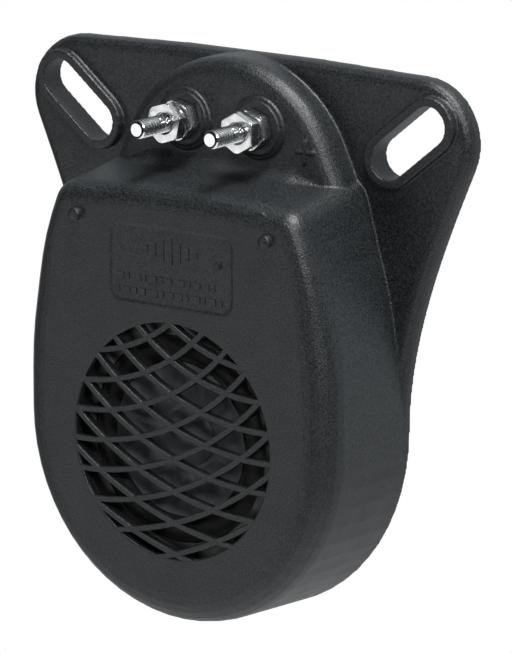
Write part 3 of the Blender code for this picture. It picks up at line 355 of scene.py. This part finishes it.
def copper_look():
    """Enamelled copper wire in bands along Y, with painted shade between the turns: darker where the bands'
    bump is low. The texture repeats every 2 pi times the size given.
    """
    look = Look("copper_wire_look", (0.7, 0.28, 0.1), 0.3, metallic=1.0)
    band_size = 0.35
    wave = look.nodes.new("ShaderNodeTexWave")
    wave.bands_direction = "Y"
    wave.inputs["Scale"].default_value = 1.0 / (band_size * MM) / 20
    look.links.new(look.place, wave.inputs["Vector"])
    # painted shade: the bands that make the bump are darker in its hollows, between the turns
    look.colour(wave.outputs["Fac"], (0.45, 0.16, 0.06), (0.8, 0.34, 0.14), start=0.1, end=0.8)
    look.bump(wave.outputs["Fac"], 0.08)
    return look.material


def cloth_look():
    """Woven, resin-stiffened cloth, with painted shade in its hollows: darker where the cells' bump is low.
    """
    look = Look("amber_cloth_look", (0.4, 0.22, 0.08), 0.85, specular=0.2)
    # painted shade: darker at the middle of each cell, where the bump is lowest
    look.colour(look.cells(0.5), (0.22, 0.11, 0.04), (0.5, 0.3, 0.12), start=0.1, end=0.6)
    look.bump(look.cells(0.5), 0.12)
    return look.material


def ferrite_look():
    """Grey, slightly grainy ferrite."""
    look = Look("ferrite_look", (0.05, 0.05, 0.053), 0.55)
    look.colour(look.noise(1.0, detail=5), (0.035, 0.035, 0.037), (0.07, 0.07, 0.073))
    look.roughness(look.noise(0.8, detail=4), 0.45, 0.7)
    look.bump(look.noise(0.4, detail=4), 0.03)
    return look.material


def plain_plastic_look(name, colour, roughness):
    """Small coloured plastic pieces, with slight mottling."""
    look = Look(name, colour, roughness)
    dark, pale = tuple(c * 0.8 for c in colour), tuple(min(1, c * 1.15) for c in colour)
    look.colour(look.noise(1.8, detail=4), dark, pale)
    look.roughness(look.noise(1.2, detail=4), roughness - 0.07, roughness + 0.1)
    look.bump(look.noise(0.5, detail=3), 0.015)
    return look.material


def board_look():
    """Green solder mask over glass weave."""
    look = Look("board_laminate_look", (0.03, 0.16, 0.06), 0.35)
    edges = look.cells(2.2, "DISTANCE_TO_EDGE")
    look.colour(edges, (0.05, 0.24, 0.09), (0.02, 0.12, 0.045), start=0.05, end=0.15)
    look.roughness(look.noise(2, detail=3), 0.28, 0.45)
    look.bump(look.noise(0.5, detail=2), 0.02)
    return look.material


LOOKS = {
    "black_moulding": moulding_look(),
    "cover_plastic": cover_look(),
    "potting_resin": resin_look(),
    "zinc_plate": zinc_look(),
    # zinc whose thread roots carry painted shade
    "zinc_thread_painted_shade": thread_painted_shade_look(),
    "tinned_copper": tinned_look(),
    "black_rubber": rubber_look(),
    "black_foam": foam_look(),
    "painted_steel": painted_look(),
    "dark_film": film_look(),
    "brown_paper": board_paper_look(),
    "copper_wire": copper_look(),
    "amber_cloth": cloth_look(),
    "ferrite": ferrite_look(),
    "wire_insulation": plain_plastic_look("wire_insulation_look", (0.45, 0.03, 0.02), 0.42),
    "board_laminate": board_look(),
    "chip_epoxy": plain_plastic_look("chip_epoxy_look", (0.02, 0.02, 0.021), 0.5),
    "capacitor_sleeve": plain_plastic_look("capacitor_sleeve_look", (0.02, 0.04, 0.12), 0.3),
    "film_capacitor_case": plain_plastic_look("film_capacitor_case_look", (0.45, 0.12, 0.03), 0.35),
    "resistor_coat": plain_plastic_look("resistor_coat_look", (0.55, 0.42, 0.25), 0.45),
}


# Building pieces


def forward_axis(x, z):
    """Turns a piece that is drawn with its own Z as forward, and sets it at (x, z), in metres."""
    return Matrix.Translation((x, 0, z)) @ Matrix.Rotation(math.radians(90), 4, "X")


def add_piece(name, mesh, slot_name, body, replaced=(), matrix=Matrix.Identity(4), look=None):
    """A finished piece: its record slot, the body it rides on and the CAD nodes it stands for.

    Its look is the slot's own unless another is named."""
    obj = bpy.data.objects.new(name, mesh)
    bpy.context.scene.collection.objects.link(obj)
    obj.matrix_world = matrix
    mesh.materials.clear()
    mesh.materials.append(LOOKS[look or slot_name])
    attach(obj, body)
    if replaced:
        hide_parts(*replaced)
    return obj


def baked(obj):
    """The object's mesh with its modifiers applied. The object is removed."""
    graph = bpy.context.evaluated_depsgraph_get()
    mesh = bpy.data.meshes.new_from_object(obj.evaluated_get(graph))
    mesh.name = obj.name
    bpy.data.objects.remove(obj)
    return mesh


def draft(name, mesh):
    """An object that modifiers are added to and that is then baked."""
    obj = bpy.data.objects.new(name, mesh)
    bpy.context.scene.collection.objects.link(obj)
    return obj


def cut_with(obj, operation, other):
    """A Boolean with another object, which takes effect when the object is baked."""
    made = obj.modifiers.new(operation.title(), "BOOLEAN")
    made.operation = operation
    made.solver = "EXACT"
    made.object = other


def shade(mesh, sharp_deg):
    """Smooth shading with crisp edges where faces meet at more than an angle."""
    mesh.shade_smooth()
    mesh.set_sharp_from_angle(angle=math.radians(sharp_deg))


def mesh_from(name, shape, sharp_deg=40):
    """A finished shape as a mesh with outward faces."""
    mesh = bpy.data.meshes.new(name)
    bmesh.ops.recalc_face_normals(shape, faces=shape.faces)
    shape.to_mesh(mesh)
    shape.free()
    shade(mesh, sharp_deg)
    return mesh


def add_ring(shape, places):
    """Vertices at places given in millimetres."""
    return [shape.verts.new(tuple(c * MM for c in place)) for place in places]


def turned_shape(profile, steps, ripple=None, closed=False):
    """A shape turned about its own Z from (radius, height) points, in millimetres.

    Ripple, if given, is a function of (angle, radius) that returns a height to add."""
    shape = bmesh.new()
    rings = []
    for radius, height in profile:
        if radius == 0:
            rings.append(add_ring(shape, [(0, 0, height)]))
            continue
        places = []
        for i in range(steps):
            turn = 2 * math.pi * i / steps
            rise = ripple(turn, radius) if ripple else 0.0
            places.append((radius * math.cos(turn), radius * math.sin(turn), height + rise))
        rings.append(add_ring(shape, places))
    pairs = list(zip(rings, rings[1:]))
    if closed:
        pairs.append((rings[-1], rings[0]))
    for upper, lower in pairs:
        join_rings(shape, upper, lower)
    return shape


def join_rings(shape, upper, lower):
    """Faces between two rings of vertices, either of which can be a single point."""
    steps = max(len(upper), len(lower))
    for i in range(steps):
        j = (i + 1) % steps
        if len(upper) == 1:
            shape.faces.new((upper[0], lower[i], lower[j]))
        elif len(lower) == 1:
            shape.faces.new((upper[i], lower[0], upper[j]))
        else:
            shape.faces.new((upper[i], lower[i], lower[j], upper[j]))


def depths(node):
    """(back, front) of a CAD node, forward of the rear face, in millimetres."""
    low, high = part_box(node)
    return -high[1] / MM, -low[1] / MM


def centre_of(node):
    """(x, z) of the middle of a CAD node's box, in metres."""
    low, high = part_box(node)
    return (low[0] + high[0]) / 2, (low[2] + high[2]) / 2


# Housing


def make_housing():
    """The housing as one soft-edged moulding: the CAD shape with its grille cut out, remeshed and relaxed."""
    source = draft("housing_draft", NODES["housing"].data.copy())
    wall_back = BODY_FRONT - FRONT_WALL
    opening = draft("grille_cut", round_bar(GRILLE_RADIUS, wall_back - CUT_MARGIN, BODY_FRONT + CUT_MARGIN))
    opening.matrix_world = forward_axis(0, GRILLE_Z * MM)
    cut_with(source, "DIFFERENCE", opening)
    remesh = source.modifiers.new("Remesh", "REMESH")
    remesh.mode = "VOXEL"
    remesh.voxel_size = VOXEL * MM
    smooth = source.modifiers.new("Relax", "SMOOTH")
    smooth.factor = 0.5
    smooth.iterations = SHELL_SMOOTHING
    thin = source.modifiers.new("Thin", "DECIMATE")
    thin.ratio = SHELL_KEPT
    mesh = baked(source)
    bpy.data.objects.remove(opening)
    mesh.shade_smooth()
    add_piece("housing_moulding", mesh, "black_moulding", BODY, ["housing"])


def round_bar(radius, back, front, steps=128):
    """A plain round bar along its own Z."""
    profile = [(0, front), (radius, front), (radius, back), (0, back)]
    return mesh_from("round_bar", turned_shape(profile, steps))


def grille_family(side):
    """One family of grille bars with chamfered front edges, drawn about the grille's own centre."""
    shape = bmesh.new()
    turn = math.radians(GRILLE_TURN_DEG)
    x, rise = side * GRILLE_CENTRE_X, GRILLE_CENTRE_RISE
    centre = (x * math.cos(turn) - rise * math.sin(turn), x * math.sin(turn) + rise * math.cos(turn))
    facing = math.atan2(-centre[1], -centre[0])
    half, front, back = BAR_WIDTH / 2, BODY_FRONT - BAR_SUNK, BODY_FRONT - FRONT_WALL
    section = [(-half, back), (half, back), (half, front - BAR_CHAMFER), (half - BAR_CHAMFER, front)]
    section += [(BAR_CHAMFER - half, front), (-half, front - BAR_CHAMFER)]
    for k in range(BAR_COUNT):
        radius = BAR_FIRST_RADIUS + BAR_STEP * k
        reach = math.asin(min(1.0, BAR_SPAN * GRILLE_RADIUS / radius))
        rings = []
        for i in range(BAR_STEPS + 1):
            angle = facing + reach * (2 * i / BAR_STEPS - 1)
            places = []
            for across, height in section:
                out = radius + across
                places.append((centre[0] + out * math.cos(angle), centre[1] + out * math.sin(angle), height))
            rings.append(add_ring(shape, places))
        for one, other in zip(rings, rings[1:]):
            join_rings(shape, one, other)
        shape.faces.new(rings[0])
        shape.faces.new(rings[-1])
    return mesh_from("grille_family", shape)


def make_grille():
    """The lattice of the grille: both families of bars joined, and ended inside the wall of the opening."""
    lattice = draft("grille_lattice", grille_family(1))
    second = draft("second_family", grille_family(-1))
    limit_bar = round_bar(GRILLE_RADIUS + LATTICE_IN_WALL, LATTICE_BACK, BODY_FRONT + CUT_MARGIN)
    limit = draft("grille_limit", limit_bar)
    cut_with(lattice, "UNION", second)
    cut_with(lattice, "INTERSECT", limit)
    mesh = baked(lattice)
    bpy.data.objects.remove(second)
    bpy.data.objects.remove(limit)
    shade(mesh, sharp_deg=30)
    place = forward_axis(0, GRILLE_Z * MM)
    add_piece("grille_lattice", mesh, "black_moulding", BODY, ["housing"], place)


def raised_mark(shape, x, z, width, tall, floor, rise):
    """A low block with sloping sides that stands on a flat face at some depth."""

    def level(inset, height):
        across, up = width / 2 - inset, tall / 2 - inset
        corners = ((-1, -1), (1, -1), (1, 1), (-1, 1))
        return add_ring(shape, [(x + sx * across, z + sz * up, height) for sx, sz in corners])

    foot = level(0, floor - MARK_SUNK)
    top = level(MARK_SLOPE, floor + rise)
    join_rings(shape, top, foot)
    shape.faces.new(foot)
    shape.faces.new(top)


def make_label_marks():
    """Generic relief on the label panel: a wave mark of upright strokes and two rows of dashes."""
    shape = bmesh.new()
    for i, tall in enumerate(WAVE_HEIGHTS):
        x = WAVE_STEP * (i - len(WAVE_HEIGHTS) // 2)
        raised_mark(shape, x, WAVE_Z, STROKE_WIDTH, tall, LABEL_FLOOR, MARK_HEIGHT)
    for row, z in enumerate(DASH_ROWS):
        x, k = DASH_LEFT, 3 * row
        while x + DASH_LENGTHS[k % len(DASH_LENGTHS)] < DASH_RIGHT:
            length = DASH_LENGTHS[k % len(DASH_LENGTHS)]
            raised_mark(shape, x + length / 2, z, length, DASH_TALL, LABEL_FLOOR, MARK_HEIGHT)
            x += length + DASH_SPACE
            k += 1
    mesh = mesh_from("label_marks", shape, sharp_deg=20)
    add_piece("label_marks", mesh, "black_moulding", BODY, (), forward_axis(0, 0))


def make_plus_sign():
    """The small plus sign moulded beside the positive stud."""
    shape = bmesh.new()
    for width, tall in ((PLUS_LENGTH, PLUS_STROKE), (PLUS_STROKE, PLUS_LENGTH)):
        raised_mark(shape, PLUS_X, PLUS_Z, width, tall, TERMINAL_FACE, PLUS_RISE)
    mesh = mesh_from("plus_sign", shape, sharp_deg=20)
    add_piece("plus_sign", mesh, "black_moulding", BODY, (), forward_axis(0, 0))


def make_pips():
    """The two small pegs on the front face, with domed ends."""
    for side, word in ((-1, "left"), (1, "right")):
        tip = BODY_FRONT + PIP_RISE
        dome = [(PIP_RADIUS * math.sin(a), tip - PIP_DOME * (1 - math.cos(a))) for a in DOME_TURNS]
        foot = BODY_FRONT - PIP_SUNK
        profile = dome + [(PIP_RADIUS, foot), (0, foot)]
        mesh = mesh_from("pip_" + word, turned_shape(profile, steps=40), sharp_deg=50)
        place = forward_axis(side * PIP_X * MM, PIP_Z * MM)
        add_piece("pip_" + word, mesh, "black_moulding", BODY, (), place)


# Terminals


def thread_radius(height, turn, base, tip):
    """Radius of the helical thread, which is plain up to its base and chamfered at its tip.

    The helix comes out left-handed, although such studs are right-handed and the nuts turn that way."""
    phase = (height / THREAD_PITCH + turn / (2 * math.pi)) % 1.0
    flank = abs(2 * phase - 1)
    flank = min(1.0, max(0.0, (flank - ROOT_SHARE) / FLANK_SHARE))
    radius = STUD_ROOT + (STUD_RADIUS - STUD_ROOT) * flank
    chamfer = STUD_RADIUS - max(0.0, STUD_CHAMFER - (tip - height))
    if height < base:
        radius = STUD_RADIUS
    return min(radius, chamfer)


def make_stud(word):
    """A stud with a helical thread and the hex head that is sealed inside the housing."""
    node = "stud_" + word
    back, tip = depths(node)
    head_front = back + HEAD_THICK
    plain_to = head_front + PLAIN_SHANK
    rows = int((tip - head_front) / THREAD_PITCH * THREAD_ROWS)
    shape = bmesh.new()
    rings = []
    for row in range(rows + 1):
        height = head_front - STEM_IN_HEAD + (tip - head_front + STEM_IN_HEAD) * row / rows
        places = []
        for i in range(THREAD_STEPS):
            turn = 2 * math.pi * i / THREAD_STEPS
            radius = thread_radius(height, turn, plain_to, tip)
            places.append((radius * math.cos(turn), radius * math.sin(turn), height))
        rings.append(add_ring(shape, places))
    for upper, lower in zip(rings[1:], rings):
        join_rings(shape, upper, lower)
    shape.faces.new(rings[0])
    cap_stud_tip(shape, rings[-1], tip)
    add_hex(shape, HEAD_FLATS, back, head_front, 0)
    mesh = mesh_from(node + "_thread", shape, sharp_deg=28)
    place = forward_axis(*centre_of(node))
    # its look paints shade into the thread roots
    add_piece(f"threaded_stud_{word}", mesh, "zinc_plate", BODY, [node], place, look="zinc_thread_painted_shade")


def cap_stud_tip(shape, ring, tip):
    """The tip's flat end, very slightly hollow from being sheared."""
    share = TIP_HOLLOW_SHARE
    inner = [shape.verts.new((v.co.x * share, v.co.y * share, tip * MM)) for v in ring]
    join_rings(shape, inner, ring)
    centre = shape.verts.new((0, 0, (tip - TIP_HOLLOW) * MM))
    join_rings(shape, [centre], inner)


def add_hex(shape, flats, back, front, turn_deg):
    """A hexagonal prism added to a shape as its own closed island."""
    corners = [math.radians(turn_deg + 60 * i) for i in range(6)]
    radius = flats / math.sqrt(3) * MM
    low = [shape.verts.new((radius * math.cos(a), radius * math.sin(a), back * MM)) for a in corners]
    high = [shape.verts.new((radius * math.cos(a), radius * math.sin(a), front * MM)) for a in corners]
    join_rings(shape, high, low)
    shape.faces.new(low)
    shape.faces.new(high)


def make_nut(node, name, turn_deg, body):
    """A hex nut: flats, chamfers on both faces, and a countersunk bore."""
    back, front = depths(node)
    shape = bmesh.new()
    add_hex(shape, NUT_FLATS, back, front, turn_deg)
    nut = draft(name, mesh_from(name, shape))
    corner, flat = NUT_FLATS / math.sqrt(3) + NUT_CORNER_ROOM, NUT_FLATS / 2 + NUT_FACE
    slope = (corner - flat) * math.tan(math.radians(NUT_CHAMFER_DEG))
    lens = [(0, front + NUT_CROWN), (flat, front + NUT_CROWN_EDGE), (corner, front - slope)]
    lens += [(corner, back + slope), (flat, back - NUT_CROWN_EDGE), (0, back - NUT_CROWN)]
    mouth = NUT_BORE + BORE_SINK + CUT_MARGIN
    bore = [(0, front + CUT_MARGIN), (mouth, front + CUT_MARGIN), (NUT_BORE, front - BORE_SINK)]
    bore += [(NUT_BORE, back + BORE_SINK), (mouth, back - CUT_MARGIN), (0, back - CUT_MARGIN)]
    cutters = []
    for operation, profile in (("INTERSECT", lens), ("DIFFERENCE", bore)):
        cutter = draft(name + operation, mesh_from(name + operation, turned_shape(profile, steps=72)))
        cut_with(nut, operation, cutter)
        cutters.append(cutter)
    soft = nut.modifiers.new("Soft edges", "BEVEL")
    soft.width = NUT_SOFT_EDGE * MM
    soft.segments = 2
    soft.angle_limit = math.radians(25)
    soft.harden_normals = False
    mesh = baked(nut)
    for cutter in cutters:
        bpy.data.objects.remove(cutter)
    shade(mesh, sharp_deg=32)
    add_piece(name, mesh, "zinc_plate", body, [node], stud_axis(node))


def stud_axis(node):
    """The place of a piece that sits on the same stud as a CAD node."""
    return forward_axis(*centre_of("stud_left" if node.endswith("left") else "stud_right"))


def make_lock_washer(word):
    """A split spring washer: its two ends stand a little apart along the stud."""
    node = "lock_washer_" + word
    back, front = depths(node)
    inner, outer, edge = WASHER_INNER, WASHER_OUTER, WASHER_EDGE
    start = math.radians(90 + WASHER_GAP_DEG / 2)
    sweep = math.radians(360 - WASHER_GAP_DEG)
    low, high = back + WASHER_LIFT, front - WASHER_LIFT
    section = [(inner, low + edge), (inner + edge, low), (outer - edge, low), (outer, low + edge)]
    section += [(outer, high - edge), (outer - edge, high), (inner + edge, high), (inner, high - edge)]
    shape = bmesh.new()
    rings = []
    for i in range(WASHER_STEPS + 1):
        share = i / WASHER_STEPS
        turn, rise = start + sweep * share, WASHER_LIFT * (2 * share - 1)
        places = [(r * math.cos(turn), r * math.sin(turn), h + rise) for r, h in section]
        rings.append(add_ring(shape, places))
    for one, other in zip(rings, rings[1:]):
        join_rings(shape, one, other)
    shape.faces.new(rings[0])
    shape.faces.new(rings[-1])
    mesh = mesh_from(node, shape, sharp_deg=35)
    add_piece(f"split_washer_{word}", mesh, "zinc_plate", f"{word}_washer", [node], stud_axis(node))


# Speaker


def film_section(front_line):
    """A film's section: its front line, then the same line one thickness behind it, run back."""
    return front_line + [(r, h - FILM_THICK) for r, h in reversed(front_line)]


def half_width(node):
    """Half the width of a CAD node's box, in millimetres."""
    low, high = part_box(node)
    return (high[0] - low[0]) / MM / 2


def make_cone():
    """The film diaphragm: a shallow cone with a ring of pleats about its middle."""
    back, front = depths("speaker_cone")
    level = back + FILM_FRONT
    drop = front - RIM_SUNK - level

    def share_of(radius):
        return (radius - CONE_NECK) / (CONE_RIM - CONE_NECK)

    def ripple(turn, radius):
        along = min(1.0, max(0.0, (share_of(radius) - PLEAT_START) / PLEAT_SPAN))
        swell = max(0.0, math.sin(math.pi * along))
        zigzag = abs(((turn * PLEATS / (2 * math.pi)) % 1.0) * 2 - 1) - 0.5
        return PLEAT_DEPTH * swell * zigzag

    radii = [CONE_NECK + (CONE_RIM - CONE_NECK) * i / CONE_RINGS for i in range(CONE_RINGS + 1)]
    line = [(r, level + drop * share_of(r)) for r in reversed(radii)] + [(CONE_INNER, level)]
    shape = turned_shape(film_section(line), PLEATS * PLEAT_STEPS, ripple, closed=True)
    mesh = mesh_from("pleated_cone", shape, sharp_deg=30)
    place = forward_axis(*centre_of("speaker_cone"))
    add_piece("pleated_cone", mesh, "dark_film", "diaphragm", ["speaker_cone"], place)


def make_dust_cap():
    """The smooth dome at the middle of the diaphragm."""
    back, front = depths("dust_cap")
    reach, rise = half_width("dust_cap"), front - back - FILM_FRONT
    line = []
    for i in range(DOME_RINGS + 1):
        share = i / DOME_RINGS
        line.append((reach * i / DOME_RINGS, back + FILM_FRONT + rise * (1 - share**2)))
    mesh = mesh_from("dust_dome", turned_shape(film_section(line), steps=64), sharp_deg=50)
    place = forward_axis(*centre_of("dust_cap"))
    add_piece("dust_dome", mesh, "dark_film", "diaphragm", ["dust_cap"], place)


def make_surround():
    """The half-roll edge between diaphragm and frame."""
    back, front = depths("speaker_surround")
    outer = half_width("speaker_surround")
    inner = outer - ROLL_BAND
    level, rise = back + FILM_FRONT, front - back - FILM_FRONT
    line = [(inner, level)]
    for i in range(ROLL_STEPS + 1):
        share = i / ROLL_STEPS
        radius = inner + ROLL_FLAT + (outer - inner - 2 * ROLL_FLAT) * share
        line.append((radius, level + rise * math.sin(math.pi * share)))
    line.append((outer, level))
    mesh = mesh_from("surround_roll", turned_shape(film_section(line), steps=96, closed=True))
    place = forward_axis(*centre_of("speaker_surround"))
    add_piece("surround_roll", mesh, "black_rubber", BODY, ["speaker_surround"], place)


# Camera, light and floor


def make_camera():
    """A long lens at the photograph's angle."""
    a, e = math.radians(AZIMUTH_DEG), math.radians(ELEVATION_DEG)
    right = Vector((math.cos(a), math.sin(a), 0))
    back = Vector((math.sin(a) * math.cos(e), -math.cos(a) * math.cos(e), math.sin(e)))
    up = back.cross(right)
    data = bpy.data.cameras.new("camera")
    data.lens = LENS
    data.sensor_width = SENSOR
    camera = bpy.data.objects.new("camera", data)
    bpy.context.scene.collection.objects.link(camera)
    camera.location = AIM_POINT + right * AIM_RIGHT + up * AIM_UP + back * DISTANCE
    camera.rotation_euler = back.to_track_quat("Z", "Y").to_euler()
    data.clip_start, data.clip_end = CLIP_NEAR, CLIP_FAR
    bpy.context.scene.camera = camera


def area_light(name, place, aim, size, power):
    """A square soft light that faces a point."""
    data = bpy.data.lights.new(name, "AREA")
    data.shape = "RECTANGLE"
    data.size, data.size_y = size, size
    data.energy = power
    light = bpy.data.objects.new(name, data)
    bpy.context.scene.collection.objects.link(light)
    light.location = place
    light.rotation_euler = (place - aim).to_track_quat("Z", "Y").to_euler()


def make_lights():
    """The area lights and the world: white where the camera sees it, and a studio's room all round."""
    for name, offset, size, power in LIGHTS:
        area_light(name, LIT_POINT + Vector(offset), LIT_POINT, size, power)
    world = bpy.data.worlds.new("studio")
    bpy.context.scene.world = world
    world.use_nodes = True
    nodes, links = world.node_tree.nodes, world.node_tree.links
    backdrop = nodes["Background"]
    backdrop.inputs["Color"].default_value = (1, 1, 1, 1)
    backdrop.inputs["Strength"].default_value = 1.0
    surround = nodes.new("ShaderNodeBackground")
    surround.inputs["Color"].default_value = SURROUND_TINT
    links.new(sweep_strength(nodes, links), surround.inputs["Strength"])
    seen = nodes.new("ShaderNodeLightPath")
    mix = nodes.new("ShaderNodeMixShader")
    links.new(seen.outputs["Is Camera Ray"], mix.inputs["Fac"])
    links.new(surround.outputs["Background"], mix.inputs[1])
    links.new(backdrop.outputs["Background"], mix.inputs[2])
    links.new(mix.outputs["Shader"], nodes["World Output"].inputs["Surface"])


def sweep_strength(nodes, links):
    """Brightness of the surround by direction: a dim room in front, a bright sweep behind the alarm."""
    direction = nodes.new("ShaderNodeTexCoord")
    parts = nodes.new("ShaderNodeSeparateXYZ")
    links.new(direction.outputs["Generated"], parts.inputs["Vector"])
    rise = nodes.new("ShaderNodeMapRange")
    rise.inputs["From Min"].default_value = SWEEP_START
    rise.inputs["From Max"].default_value = SWEEP_END
    rise.inputs["To Min"].default_value = ROOM_LIGHT
    rise.inputs["To Max"].default_value = SWEEP_LIGHT
    links.new(parts.outputs["Y"], rise.inputs["Value"])
    return rise.outputs["Result"]


def make_floor():
    """A plain pale floor well below the wall-mounted alarm."""
    shape = bmesh.new()
    bmesh.ops.create_grid(shape, x_segments=1, y_segments=1, size=FLOOR_HALF)
    floor = draft("floor", mesh_from("floor", shape))
    floor.location = (0, 0, FLOOR_Z)
    pale = Look("pale_floor", (0.9, 0.9, 0.9), 0.8)
    pale.colour(pale.noise(400, detail=3), (0.88, 0.88, 0.88), (0.92, 0.92, 0.92))
    floor.data.materials.append(pale.material)


def finish_cad_nodes():
    """Every CAD node takes its own slot's look."""
    slots = {part["node"]: part["material_slot"] for part in frame["record"]["subparts"]}
    for name, node in NODES.items():
        look = LOOKS[slots[name]]
        if not node.material_slots:
            node.data.materials.append(look)
        for place in node.material_slots:
            place.material = look


finish_cad_nodes()
make_housing()
make_grille()
make_label_marks()
make_plus_sign()
make_pips()
for side in ("left", "right"):
    make_stud(side)
    make_nut("inner_nut_" + side, "clamp_nut_" + side, INNER_NUT_TURNS[side], BODY)
    make_nut("wiring_nut_" + side, "hex_nut_" + side, WIRING_NUT_TURNS[side], f"{side}_wiring_nut")
    make_lock_washer(side)
make_cone()
make_dust_cap()
make_surround()
make_floor()
make_lights()
make_camera()
bpy.context.scene.view_settings.view_transform = "Standard"
